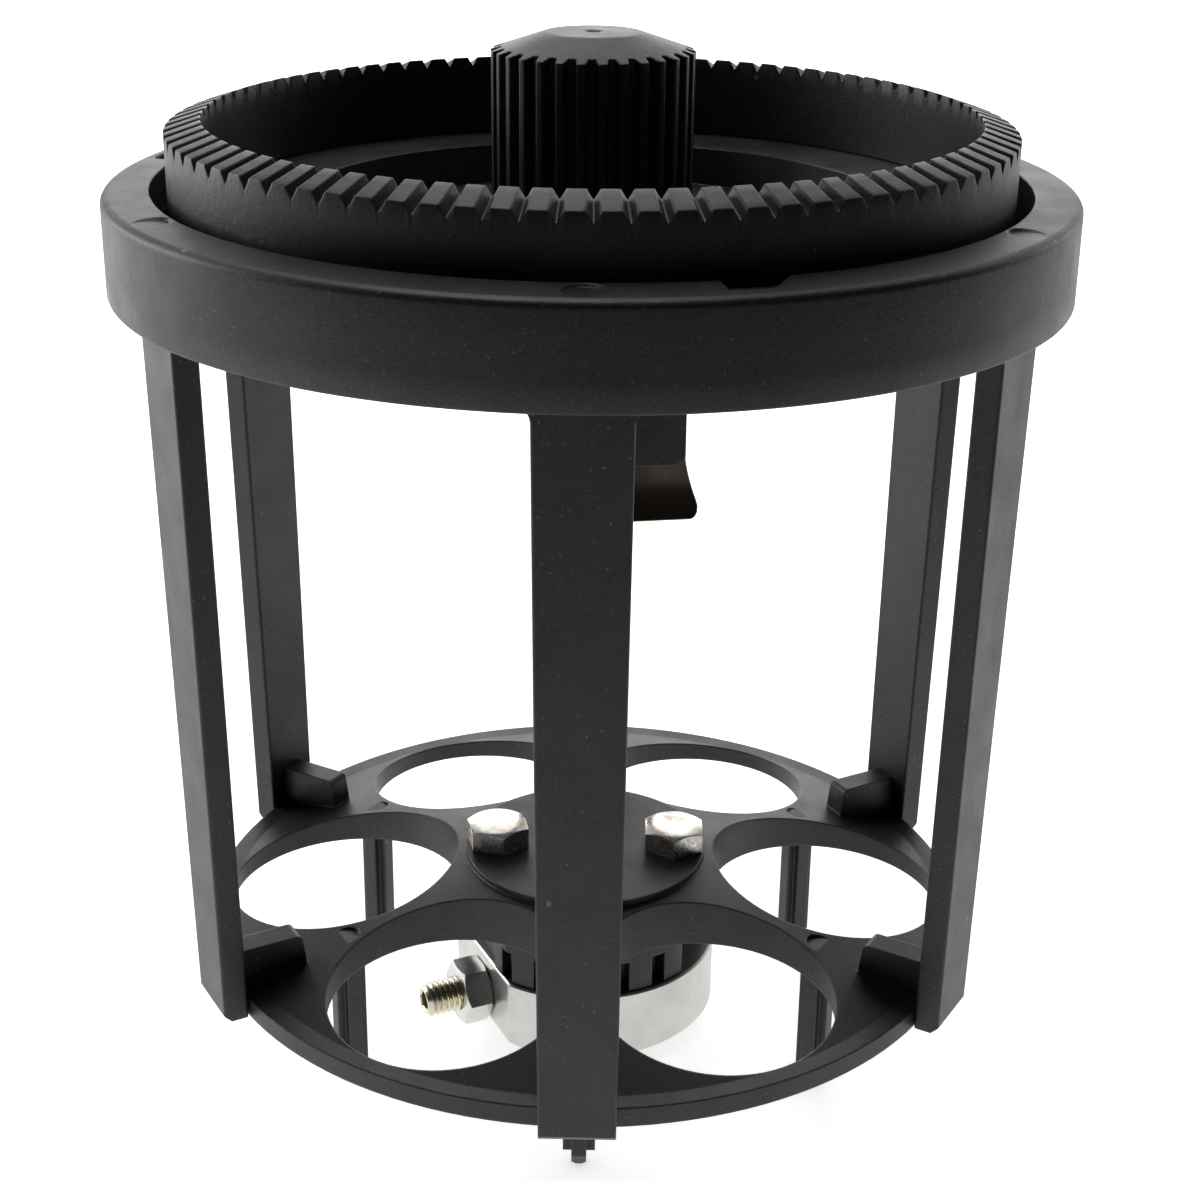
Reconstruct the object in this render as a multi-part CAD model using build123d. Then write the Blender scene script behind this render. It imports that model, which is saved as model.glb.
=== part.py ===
from build123d import *
import math
import os

# Rotary film-tube carrier: an open six-station cage clamped on a drive shaft, with a crown-toothed
# drive ring turning in its collar and a fluted sun pinion that swings a stirrer blade under it.
# Millimetres, +Z up. The origin is on the cage's axis at the level of the leg tips, and station 1
# (the first strut and leg) faces -Y. Azimuths are degrees from -Y towards +X.

STATIONS = 6
STATION_PITCH = 360 / STATIONS

# --- driving dimensions ---------------------------------------------------------------------------
collar_radius = 75.0            # outside of the collar, the widest part of the cage
collar_wall = 7.3
collar_height = 14.8
collar_top = 150.5              # height of the collar's top face at its outer edge, above the leg tips
collar_crown = 0.6              # the top face rises this much towards the bore
collar_ledge = 3.8              # thickness of the inner ledge that carries the drive ring
collar_ledge_reach = 9.0        # how far the ledge reaches in from the bayonet groove
groove_depth = 4.3              # bayonet groove, cut outwards from the collar's bore
groove_height = 5.0
collar_round = 1.2              # rounding of the collar's top outer edge
bayonet_count = 3
notch_start = 14.6              # azimuths of the notch's two ends, at the groove's wall
notch_end = 19.7
notch_flare = 5.3               # the far end opens by this much towards the axis
lug_angle = 4.4

strut_half_top = 6.8
strut_half_foot = 5.8
strut_thickness = 4.1
strut_setback = 3.5             # from the collar's outside to the strut's face, at the top
strut_lean = 1.8                # how much nearer to the axis the strut's foot stands
strut_flare = 2.0               # radius where the strut runs out into the collar
strut_edge = 0.4
strut_foot_chamfer = 1.2

plate_underside = 21.3          # height of the plate's underside at its rim
plate_rim = 3.3                 # thickness of the rim
plate_land = 3.1                # width of the flat band round the rim
plate_rise = 7.8                # height of the cone from the rim to the central boss
plate_dish = 2.3                # rise of the underside from the rim to the hub seat
boss_radius = 21.0
boss_step = 1.0
tube_hole_radius = 20.0
tube_hole_circle = 42.5         # radius of the circle through the tube holes' centres
fin_reach = 11.1
fin_thickness = 4.5
fin_height = 6.8
fin_round = 1.0
fin_draft = 1.1                 # how much further in the fin's foot reaches

leg_circle = 45.75
leg_width = 5.2
leg_rib = 2.4
leg_tip = 3.1                   # the radial rib stands this much lower than the cross rib
leg_tip_side = 2.0              # the radial rib's lower corners are cut off: along it and up it
leg_tip_rise = 2.9
leg_tip_edge = 0.7
mark_depth = 0.15               # shallow round ejector marks
collar_mark_radius = 2.7
collar_mark_depth = 0.25
plate_mark_radius = 2.2

shaft_bore = 8.0                # radius of the hub's bore
hub_radius = 22.3
hub_collar_height = 7.3
hub_groove_count = 20
hub_groove_phase = -0.5         # azimuth of one of the grooves
hub_groove_width = 2.7
hub_groove_depth = 3.0
hub_pocket_azimuth = 68.0       # a wide pocket on each side of the hub
hub_pocket_width = 14.0
hub_pocket_depth = 3.7
hub_web = 1.6                   # solid hub left above the grooves
spigot_radius = 14.95
finger_count = 8
finger_slot = 1.8
hub_screw_circle = 15.5
hub_screw_count = 4

clamp_ring_wall = 8.03
clamp_ring_height = 13.1
clamp_ring_chamfer = 1.4        # at the ring's lower outer edge
finger_overhang = 0.8           # how far the hub's fingers stand out under the ring
clamp_flat = 19.8               # distance of the ring's flat from the axis
clamp_azimuth = -64.0
clamp_level = 9.0               # height of the clamp screw's axis
clamp_screw_end = 31.0          # how far from the axis the clamp screw ends
clamp_nut_height = 5.0
socket_flats = 3.0              # hexagon socket in the clamp screw's end
socket_depth = 3.5

ring_gap = 2.6                  # between the collar's bore and the drive ring
gear_wall = 5.6
gear_teeth = 86
gear_phase = 0.9                # azimuth of one of the gaps between the teeth
tooth_top_inner = 10.8          # tooth tip above the collar's top, at the ring's bore
tooth_top_outer = 9.0
tooth_depth_inner = 1.5
tooth_depth_outer = 1.8
tooth_half_angle = 31.0
gear_shoulder = 2.55            # step under which the drive disc sits
lug_height = 3.4
glide_height = 0.8

disc_level = 2.6                # top of the disc's flange below the collar's top
disc_flange = 3.0
disc_well_depth = 6.4
disc_well_radius = 47.0
disc_floor = 3.0
disc_hub_radius = 12.0
disc_hub_drop = 4.0
snap_ring_height = 1.2
snap_groove_depth = 1.15
snap_ring_width = 3.5

pinion_radius = 15.6
pinion_teeth = 30
pinion_flute_depth = 1.6
pinion_flute_mouth = 1.9
pinion_flute_root = 1.0
pinion_shoulder = 19.9          # height of the cone's edge above the collar's top
pinion_crown = 22.65            # height of the flat top above the collar's top
pinion_flat_radius = 7.4
pinion_dimple = 1.2
spindle_radius = 5.0
spindle_grip = 20.8             # length of spindle inside the pinion
spindle_tail = 4.5
bush_wall = 1.95
bush_flange_radius = 10.0
bush_flange = 1.5
washer_height = 0.8
washer_radius = 9.5

arm_azimuth = 9.6
arm_hub_radius = 9.5
arm_hub_height = 9.5
arm_width = 10.0
arm_depth = 5.0
arm_drop = 2.5                  # top of the bar below the top of the arm's hub
arm_pin_radius = 1.5
pad_radius = 41.0               # distance of the end pad's inner face from the axis
pad_thickness = 3.2
pad_width = 12.4
pad_height = 11.3
clip_height = 1.0
clip_groove = 0.8
clip_radius = 8.0

blade_thickness = 0.8
blade_top_width = 13.5
blade_bend_width = 15.6
blade_lip_width = 18.4
blade_bend_drop = 4.7           # from the clamp's lower edge to the bend above the lip
blade_lip_drop = 8.2            # from the clamp's lower edge to the lip's edge
blade_lean = 0.6
blade_lip_reach = 2.2
blade_corner = 2.2
clamp_block_thickness = 3.0
clamp_block_round = 1.5
blade_screw_radius = 1.5
blade_screw_head = 2.6
blade_screw_length = 6.5
blade_screw_spacing = 6.8

# M6 hexagon screws and nut
m6_radius = 3.0
m6_flats = 10.0
m6_head = 4.0
m6_length = 16.0
m6_clearance = 0.3
head_turn = 6.75                # each hub screw's head comes to rest this much further round

fit_gap = 0.02                  # between pieces of one body that are pressed or screwed together
running_gap = 0.05              # radial clearance of a turning journal
guide_gap = 0.1                 # clearance of thrust faces
free_gap = 0.5                  # clearance of parts that only guide each other

# --- places that follow from them -----------------------------------------------------------------
collar_bore = collar_radius - collar_wall
collar_bottom = collar_top - collar_height
groove_radius = collar_bore + groove_depth
ledge_top = collar_bottom + collar_ledge
ledge_radius = groove_radius - collar_ledge_reach
strut_face_top = collar_radius - strut_setback
strut_face_foot = strut_face_top - strut_lean
plate_radius = strut_face_foot - strut_thickness + 0.02
plate_top = plate_underside + plate_rim
strut_foot_level = plate_underside
boss_base = plate_top + plate_rise
boss_top = boss_base + boss_step
hub_seat = plate_underside + plate_dish
hub_shoulder = hub_seat - hub_collar_height
clamp_ring_bore = spigot_radius + fit_gap
clamp_ring_radius = clamp_ring_bore + clamp_ring_wall
clamp_ring_bottom = hub_shoulder - clamp_ring_height
finger_bottom = clamp_ring_bottom - finger_overhang
gear_radius = collar_bore - ring_gap
gear_bore = gear_radius - gear_wall
gear_bottom = ledge_top + glide_height + guide_gap
recess_radius = gear_bore + gear_shoulder
flange_top = collar_top - disc_level
flange_bottom = flange_top - disc_flange
snap_ring_top = flange_bottom - guide_gap
well_floor = flange_top - disc_well_depth
disc_bottom = well_floor - disc_floor
hub_bottom = disc_bottom - disc_hub_drop
bush_radius = spindle_radius + running_gap + bush_wall
pinion_bottom = well_floor + bush_flange + washer_height + 2 * guide_gap
arm_hub_top = hub_bottom - washer_height - 2 * guide_gap
arm_hub_bottom = arm_hub_top - arm_hub_height
arm_top = arm_hub_top - arm_drop
pad_bottom = arm_top - pad_height
blade_face = pad_radius + pad_thickness
clip_top = arm_hub_bottom - guide_gap


def at_station(piece, azimuth):
    """Turns a piece made at station 1, facing -Y, to the given azimuth."""
    return Rot(0, 0, azimuth) * piece


def tube(outer, inner, low, high):
    """A plain ring about the Z axis between two heights."""
    ring = Circle(outer) - Circle(inner)
    return extrude(Plane.XY.offset(low) * ring, high - low)


def rod(radius, low, high):
    """A plain cylinder about the Z axis between two heights."""
    return extrude(Plane.XY.offset(low) * Circle(radius), high - low)


def spun(points):
    """A closed outline of (radius, height) points turned about the Z axis."""
    return revolve(make_face(Polyline(*[(r, 0, z) for r, z in points], close=True)), Axis.Z)


def block(width, near, far, low, high):
    """A box at station 1: across the X axis, from one distance from the axis to another."""
    return Pos(0, -(near + far) / 2, (low + high) / 2) * Box(width, far - near, high - low)


def radial_rod(radius, near, far, level):
    """A cylinder at station 1 whose axis points away from the main axis."""
    return extrude(Plane.XZ.offset(near) * Pos(0, level) * Circle(radius), far - near)


def side_extrusion(points, width):
    """An outline of (distance from axis, height) points at station 1, made a given width thick."""
    face = make_face(Polyline(*[(0, -r, z) for r, z in points], close=True))
    return extrude(face, width / 2, dir=(1, 0, 0), both=True)


# --- cage -----------------------------------------------------------------------------------------
def make_collar():
    """Ring with a bayonet groove in its bore and an inner ledge under the drive ring."""
    ring = spun([
        (ledge_radius, collar_bottom),
        (collar_radius, collar_bottom),
        (collar_radius, collar_top),
        (collar_bore, collar_top + collar_crown),
        (collar_bore, ledge_top + groove_height),
        (groove_radius, ledge_top + groove_height),
        (groove_radius, ledge_top),
        (ledge_radius, ledge_top),
    ])
    outer_top = ring.edges().filter_by(GeomType.CIRCLE).group_by(Axis.Z)[-2].sort_by(SortBy.RADIUS)[-1]
    ring = fillet(outer_top, collar_round)
    outer_bottom = ring.edges().filter_by(GeomType.CIRCLE).group_by(Axis.Z)[0].sort_by(SortBy.RADIUS)[-1]
    ring = fillet(outer_bottom, strut_edge)
    for turn in range(bayonet_count):
        ring -= at_station(collar_notch(), turn * 360 / bayonet_count)
    mark_circle = (collar_bore + collar_radius) / 2 - 0.5
    mark_level = collar_top + collar_crown * (collar_radius - mark_circle) / collar_wall - collar_mark_depth
    mark = Pos(0, -mark_circle, 0) * rod(collar_mark_radius, mark_level, collar_top + 2)
    return ring - [at_station(mark, station * STATION_PITCH) for station in range(STATIONS)]


def polar(radius, azimuth):
    """Plan position of a point at a distance from the axis and an azimuth."""
    angle = math.radians(azimuth)
    return radius * math.sin(angle), -radius * math.cos(angle)


def collar_notch():
    """A gap in the lip over the groove, wider at the bore, that lets a lug of the drive ring in."""
    reach = groove_radius - fit_gap
    opening = make_face(Polyline(
        polar(ledge_radius, notch_start),
        polar(reach, notch_start),
        polar(reach, notch_end),
        polar(ledge_radius, notch_end + notch_flare),
        close=True,
    ))
    low = ledge_top + groove_height - free_gap
    return extrude(Plane.XY.offset(low) * opening, collar_top + 3 - low)


def lug_sector(radius, angle, low, high):
    """A wedge of a disc, centred on station 1, that reaches out to the given radius."""
    reach = radius * 1.2
    side = reach * math.tan(math.radians(angle / 2))
    wedge = Polyline((0, 0), (side, -reach), (-side, -reach), close=True)
    return extrude(Plane.XY.offset(low) * (make_face(wedge) & Circle(radius)), high - low)


def make_strut():
    """Tapered flat bar at station 1, flared where it meets the collar."""
    foot_lift = strut_foot_level + strut_foot_chamfer
    profile = side_extrusion([
        (strut_face_top - strut_thickness, collar_bottom),
        (strut_face_top, collar_bottom),
        (strut_face_foot, foot_lift),
        (strut_face_foot - strut_foot_chamfer, strut_foot_level),
        (strut_face_foot - strut_thickness, strut_foot_level),
    ], 4 * strut_half_top)
    outline = make_face(Polyline(
        (strut_half_top, collar_bottom),
        (strut_half_foot, strut_foot_level - 1),
        (-strut_half_foot, strut_foot_level - 1),
        (-strut_half_top, collar_bottom),
        close=True,
    ))
    bar = profile & extrude(Plane.XZ * outline, collar_radius)
    bar = fillet(bar.edges().filter_by(lambda edge: edge.length > collar_height * 4), strut_edge)
    flare_half = strut_half_top + strut_flare
    flare = Pos(0, collar_bottom - strut_flare / 2) * Rectangle(2 * flare_half, strut_flare)
    for side in (-1, 1):
        flare -= Pos(side * flare_half, collar_bottom - strut_flare) * Circle(strut_flare)
    return bar + (profile & extrude(Plane.XZ * flare, collar_radius))


def make_plate(struts):
    """Coned six-hole plate with a fin behind each strut's foot and a boss for the hub screws."""
    plate = spun([
        (0, hub_seat),
        (hub_radius + 1.7, hub_seat),
        (plate_radius, plate_underside),
        (plate_radius, plate_top),
        (plate_radius - plate_land, plate_top),
        (boss_radius, boss_base),
        (boss_radius, boss_top),
        (0, boss_top),
    ])
    hole = Pos(0, -tube_hole_circle, 0) * rod(tube_hole_radius, plate_underside - 5, boss_top + 5)
    plate -= [at_station(hole, (n + 0.5) * STATION_PITCH) for n in range(STATIONS)]
    fin_end = plate_radius - fin_reach
    fin_top = plate_top + fin_height
    fin = side_extrusion([
        (fin_end - fin_draft, plate_underside + plate_rim / 2),
        (plate_radius + 0.3, plate_underside + plate_rim / 2),
        (plate_radius + 0.3, fin_top),
        (fin_end, fin_top),
    ], fin_thickness)
    fin_corner = fin.edges().filter_by(Axis.X).group_by(Axis.Z)[-1].sort_by(Axis.Y)[-1]
    fin = fillet(fin_corner, fin_round)
    plate += [at_station(fin, n * STATION_PITCH) for n in range(STATIONS)]
    plate -= struts
    screw_hole = Pos(0, -hub_screw_circle, 0) * rod(m6_radius + m6_clearance, hub_seat - 1, boss_top + 1)
    plate -= [at_station(screw_hole, n * 360 / hub_screw_count) for n in range(hub_screw_count)]
    slope = plate_rise / (plate_radius - plate_land - boss_radius)
    mark_level = plate_top + (plate_radius - plate_land - leg_circle) * slope - mark_depth
    mark = Pos(0, -leg_circle, 0) * rod(plate_mark_radius, mark_level, boss_top)
    plate -= [at_station(mark, n * STATION_PITCH) for n in range(STATIONS)]
    return plate


def make_leg(plate):
    """Cross-shaped leg at station 1: the radial rib stands on the floor."""
    near = leg_circle - leg_width / 2
    far = leg_circle + leg_width / 2
    leg = side_extrusion([
        (near, hub_seat),
        (near, leg_tip_rise),
        (near + leg_tip_side, 0),
        (far - leg_tip_side, 0),
        (far, leg_tip_rise),
        (far, hub_seat),
    ], leg_rib)
    leg = chamfer(leg.edges().filter_by(Axis.Y).group_by(Axis.Z)[0], leg_tip_edge)
    leg += block(leg_width, leg_circle - leg_rib / 2, leg_circle + leg_rib / 2, leg_tip, hub_seat)
    return leg - plate


def make_hub():
    """Slotted sleeve: a grooved collar under the plate and a spigot cut into fingers."""
    hub = rod(hub_radius, hub_shoulder, hub_seat)
    groove = block(hub_groove_width, hub_radius - hub_groove_depth, hub_radius + 1,
                   hub_shoulder - 1, hub_seat - hub_web)
    pitch = 360 / hub_groove_count
    hub -= [at_station(groove, hub_groove_phase + n * pitch) for n in range(hub_groove_count)]
    pocket = block(hub_pocket_width, hub_radius - hub_pocket_depth, hub_radius + 3,
                   hub_shoulder - 1, hub_seat - hub_web)
    hub -= [at_station(pocket, side * hub_pocket_azimuth) for side in (-1, 1)]
    flat = block(3 * hub_radius, clamp_flat - fit_gap, 2 * hub_radius, hub_shoulder - 1, hub_seat + 1)
    hub -= at_station(flat, clamp_azimuth)
    hub += rod(spigot_radius, finger_bottom, hub_shoulder)
    hub -= rod(shaft_bore, finger_bottom - 1, hub_seat + 1)
    slot = block(finger_slot, shaft_bore / 2, spigot_radius + 0.5, finger_bottom - 1, hub_shoulder - 1)
    finger_pitch = 360 / finger_count
    hub -= [at_station(slot, clamp_azimuth + (n + 0.5) * finger_pitch) for n in range(finger_count)]
    screw_end = boss_top - m6_length - free_gap
    screw_hole = Pos(0, -hub_screw_circle, 0) * rod(m6_radius + fit_gap, screw_end, hub_seat + 1)
    hub -= [at_station(screw_hole, n * 360 / hub_screw_count) for n in range(hub_screw_count)]
    return hub


def make_clamp_ring():
    """Ring round the hub's fingers, with a flat where the clamp screw enters."""
    ring = tube(clamp_ring_radius, clamp_ring_bore, clamp_ring_bottom, hub_shoulder - guide_gap)
    foot_edge = ring.edges().filter_by(GeomType.CIRCLE).group_by(Axis.Z)[0].sort_by(SortBy.RADIUS)[-1]
    ring = chamfer(foot_edge, clamp_ring_chamfer)
    flat = block(3 * clamp_ring_radius, clamp_flat, 2 * clamp_ring_radius, 0, hub_shoulder + 1)
    hole = radial_rod(m6_radius + fit_gap, shaft_bore, clamp_flat + 1, clamp_level)
    return ring - at_station(flat, clamp_azimuth) - at_station(hole, clamp_azimuth)


def make_clamp_screw():
    """Headless screw with a hexagon socket that presses one finger of the hub on the shaft."""
    screw = rod(m6_radius, clamp_ring_bore, clamp_screw_end)
    screw = chamfer(screw.edges().filter_by(GeomType.CIRCLE), 0.8)
    hexagon = RegularPolygon(socket_flats / 2, 6, major_radius=False)
    socket = Plane.XY.offset(clamp_screw_end - socket_depth) * hexagon
    return onto_clamp_axis(screw - extrude(socket, 2 * socket_depth))


def hexagon_prism(flats, low, high, bore):
    """Hexagon nut or head about the Z axis, its corners turned off at the top."""
    hexagon = RegularPolygon(flats / 2, 6, major_radius=False)
    prism = extrude(Plane.XY.offset(low) * hexagon, high - low)
    corner = flats / math.sqrt(3)
    reach = corner + 0.1
    prism &= spun([(0, low), (reach, low), (reach, high - 0.6), (flats / 2 - 0.2, high), (0, high)])
    return prism - rod(bore, low - 1, high + 1) if bore else prism


def onto_clamp_axis(piece):
    """Lays a piece made about the Z axis onto the clamp screw's axis."""
    return at_station(Pos(0, 0, clamp_level) * Rot(90, 0, 0) * piece, clamp_azimuth)


def make_clamp_nut():
    """Hexagon nut that locks the clamp screw on the ring's flat."""
    low = clamp_flat + fit_gap
    return onto_clamp_axis(hexagon_prism(m6_flats, low, low + clamp_nut_height, m6_radius + fit_gap))


def make_hub_screws():
    """Hexagon screws through the plate's boss into the hub."""
    screw = hexagon_prism(m6_flats, boss_top, boss_top + m6_head, 0)
    screw += rod(m6_radius, boss_top - m6_length, boss_top)
    place = Pos(0, -hub_screw_circle, 0)
    turned = [place * Rot(0, 0, (n - 1) * head_turn) * screw for n in range(hub_screw_count)]
    return [at_station(one, n * 360 / hub_screw_count) for n, one in enumerate(turned)]


def make_glide_ring():
    """Flat plastic ring on the collar's ledge, on which the drive ring turns."""
    return tube(collar_bore - free_gap, ledge_radius + free_gap, ledge_top, ledge_top + glide_height)


# --- drive ring -----------------------------------------------------------------------------------
def make_crown_gear():
    """Ring with radial V-notched teeth on its sloping top and bayonet lugs round its foot."""
    snap_radius = recess_radius + snap_groove_depth
    snap_low = snap_ring_top - snap_ring_height - guide_gap
    ring = spun([
        (recess_radius, gear_bottom),
        (gear_radius, gear_bottom),
        (gear_radius, collar_top + tooth_top_outer),
        (gear_bore, collar_top + tooth_top_inner),
        (gear_bore, flange_top + fit_gap),
        (recess_radius, flange_top + fit_gap),
        (recess_radius, snap_ring_top + fit_gap),
        (snap_radius, snap_ring_top + fit_gap),
        (snap_radius, snap_low),
        (recess_radius, snap_low),
    ])
    lug = lug_sector(groove_radius - free_gap, lug_angle, gear_bottom, gear_bottom + lug_height)
    lug -= rod(gear_radius - 1, gear_bottom - 1, gear_bottom + lug_height + 1)
    for turn in range(bayonet_count):
        ring += at_station(lug, notch_start + (turn + 0.5) * 360 / bayonet_count)
    return ring - [at_station(tooth_notch(), gear_phase + n * 360 / gear_teeth) for n in range(gear_teeth)]


def tooth_notch():
    """The V-shaped gap between two teeth: a triangle drawn along the sloping root line."""
    root_outer = collar_top + tooth_top_outer - tooth_depth_outer
    root_inner = collar_top + tooth_top_inner - tooth_depth_inner
    slope = (root_inner - root_outer) / gear_wall
    start = gear_radius + 1.5
    apex = root_outer - 1.5 * slope
    height = tooth_depth_outer + 0.9
    half = height * math.tan(math.radians(tooth_half_angle))
    triangle = make_face(Polyline((0, apex), (half, apex + height), (-half, apex + height), close=True))
    run = gear_wall + 3
    return extrude(Plane.XZ.offset(start) * triangle, run * math.hypot(1, slope), dir=(0, 1, slope))


def make_drive_disc():
    """Dished disc that closes the drive ring and carries the spindle in its centre."""
    return spun([
        (bush_radius + fit_gap, hub_bottom),
        (disc_hub_radius, hub_bottom),
        (disc_hub_radius, disc_bottom),
        (disc_well_radius + disc_floor, disc_bottom),
        (disc_well_radius + disc_floor, flange_bottom),
        (recess_radius - running_gap, flange_bottom),
        (recess_radius - running_gap, flange_top),
        (disc_well_radius, flange_top),
        (disc_well_radius, well_floor),
        (bush_radius + fit_gap, well_floor),
    ])


def make_snap_ring():
    """Split ring sprung into the drive ring's groove under the disc."""
    outer = recess_radius + snap_groove_depth - free_gap / 2
    low = snap_ring_top - snap_ring_height
    ring = tube(outer, outer - snap_ring_width, low, snap_ring_top)
    return ring - block(snap_ring_width, 0, 2 * outer, low - 1, snap_ring_top + 1)


def make_spindle_bush():
    """Flanged bush pressed into the disc."""
    bore = spindle_radius + running_gap
    flange = tube(bush_flange_radius, bore, well_floor, well_floor + bush_flange)
    return tube(bush_radius, bore, hub_bottom, well_floor) + flange


# --- spindle --------------------------------------------------------------------------------------
def make_sun_pinion():
    """Fluted pinion with a coned top and a centre mark."""
    top = collar_top + pinion_crown
    shoulder = collar_top + pinion_shoulder
    body = spun([
        (0, pinion_bottom),
        (pinion_radius, pinion_bottom),
        (pinion_radius, shoulder),
        (pinion_flat_radius, top),
        (pinion_dimple, top),
        (0, top - pinion_dimple / 2),
    ])
    root = pinion_radius - pinion_flute_depth
    flute = make_face(Polyline(
        (pinion_flute_root / 2, -root),
        (pinion_flute_mouth / 2, -pinion_radius),
        (pinion_flute_mouth / 2, -pinion_radius - 1),
        (-pinion_flute_mouth / 2, -pinion_radius - 1),
        (-pinion_flute_mouth / 2, -pinion_radius),
        (-pinion_flute_root / 2, -root),
        close=True,
    ))
    flute = extrude(Plane.XY.offset(pinion_bottom - 1) * flute, top - pinion_bottom)
    body -= [at_station(flute, n * 360 / pinion_teeth) for n in range(pinion_teeth)]
    return body - rod(spindle_radius + fit_gap, pinion_bottom - 1, pinion_bottom + spindle_grip + fit_gap)


def make_spindle():
    """Round shaft with a cross hole for the arm's pin and a groove for the clip."""
    low = arm_hub_bottom - spindle_tail
    spindle = rod(spindle_radius, low, pinion_bottom + spindle_grip)
    spindle = chamfer(spindle.edges().filter_by(GeomType.CIRCLE).group_by(Axis.Z)[0], 0.6)
    groove_low = clip_top - clip_height - guide_gap
    spindle -= tube(2 * spindle_radius, spindle_radius - clip_groove, groove_low, clip_top + fit_gap)
    return spindle - arm_pin_rod(arm_pin_radius + fit_gap)


def arm_pin_rod(radius):
    """The cross pin's cylinder, through the arm's hub and square to the arm."""
    level = arm_top - arm_depth / 2
    pin = extrude(Plane.YZ.offset(-arm_hub_radius) * Pos(0, level) * Circle(radius), 2 * arm_hub_radius)
    return at_station(pin, arm_azimuth)


def make_arm_pin():
    """Cross pin that locks the arm on the spindle, flush with the arm's hub."""
    return arm_pin_rod(arm_pin_radius) & rod(arm_hub_radius - guide_gap, arm_hub_bottom, arm_hub_top)


def make_stirrer_arm():
    """Hub, bar and end pad of the arm under the drive disc."""
    arm = rod(arm_hub_radius, arm_hub_bottom, arm_hub_top)
    arm += at_station(block(arm_width, 0, pad_radius + 0.5, arm_top - arm_depth, arm_top), arm_azimuth)
    arm += at_station(block(pad_width, pad_radius, blade_face, pad_bottom, arm_top), arm_azimuth)
    arm -= rod(spindle_radius + fit_gap, arm_hub_bottom - 1, arm_hub_top + 1)
    arm -= arm_pin_rod(arm_pin_radius + fit_gap)
    return arm - blade_screw_rods(blade_screw_radius + fit_gap, pad_radius - 5, blade_face + 1)


def blade_screw_rods(radius, near, far):
    """The pair of cylinders of the screws that hold the blade."""
    level = pad_bottom + blade_screw_head + free_gap
    one = radial_rod(radius, near, far, level)
    half = blade_screw_spacing / 2
    return [at_station(Pos(side * half, 0, 0) * one, arm_azimuth) for side in (-1, 1)]


def make_blade():
    """Bent sheet blade: a flat root, a slanted middle and a lip flared outwards."""
    near = blade_face + fit_gap / 2
    far = near + blade_thickness - fit_gap / 2
    bend = pad_bottom - blade_bend_drop
    edge = pad_bottom - blade_lip_drop
    sheet = side_extrusion([
        (near, arm_top - 1),
        (far, arm_top - 1),
        (far, pad_bottom),
        (far + blade_lean, bend),
        (far + blade_lip_reach, edge),
        (near + blade_lip_reach, edge - 0.3),
        (near + blade_lean, bend - 0.2),
        (near, pad_bottom - 0.2),
    ], 2 * blade_lip_width)
    outline = make_face(Polyline(
        (-blade_top_width / 2, arm_top),
        (-blade_top_width / 2, pad_bottom),
        (-blade_bend_width / 2, bend),
        (-blade_lip_width / 2, edge + blade_corner / 2),
        (-blade_lip_width / 2, edge - 1),
        (blade_lip_width / 2, edge - 1),
        (blade_lip_width / 2, edge + blade_corner / 2),
        (blade_bend_width / 2, bend),
        (blade_top_width / 2, pad_bottom),
        (blade_top_width / 2, arm_top),
        close=True,
    ))
    blade = sheet & extrude(Plane.XZ * outline, collar_radius)
    corners = blade.edges().filter_by(lambda one: one.length < 2 * blade_thickness).group_by(Axis.Z)[0]
    blade = fillet([one for one in corners if abs(one.center().X) > blade_bend_width / 2], blade_corner / 2)
    blade = at_station(blade, arm_azimuth)
    return blade - blade_screw_rods(blade_screw_radius + fit_gap, pad_radius, blade_face + 3)


def make_blade_clamp():
    """Block that presses the blade on the arm's pad."""
    near = blade_face + blade_thickness + fit_gap
    far = near + clamp_block_thickness
    piece = block(pad_width, near, far, pad_bottom, arm_top - 1)
    foot_edges = piece.edges().filter_by(Axis.Y).group_by(Axis.Z)[0]
    piece = fillet(foot_edges, clamp_block_round)
    piece = at_station(piece, arm_azimuth)
    screw_end = pad_radius + blade_screw_length + fit_gap
    return piece - blade_screw_rods(blade_screw_radius + fit_gap, pad_radius, screw_end)


def make_blade_screws():
    """Two screws from behind the pad into the block."""
    shanks = blade_screw_rods(blade_screw_radius, pad_radius, pad_radius + blade_screw_length)
    heads = blade_screw_rods(blade_screw_head, pad_radius - 1.7, pad_radius)
    return [shank + head for shank, head in zip(shanks, heads)]


def make_clip():
    """Retaining clip in the spindle's groove."""
    low = clip_top - clip_height
    clip = tube(clip_radius, spindle_radius - clip_groove + fit_gap, low, clip_top)
    return clip - at_station(block(7.5, 0, 2 * clip_radius, low - 1, clip_top + 1), arm_azimuth)


def write(name, solids):
    """Writes one node, whose solids stay separate."""
    solids = solids if isinstance(solids, list) else [solids]
    pieces = [one for shape in solids for one in shape.solids()]
    export_step(pieces[0] if len(pieces) == 1 else Compound(children=pieces), f"parts/{name}.step")


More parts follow.
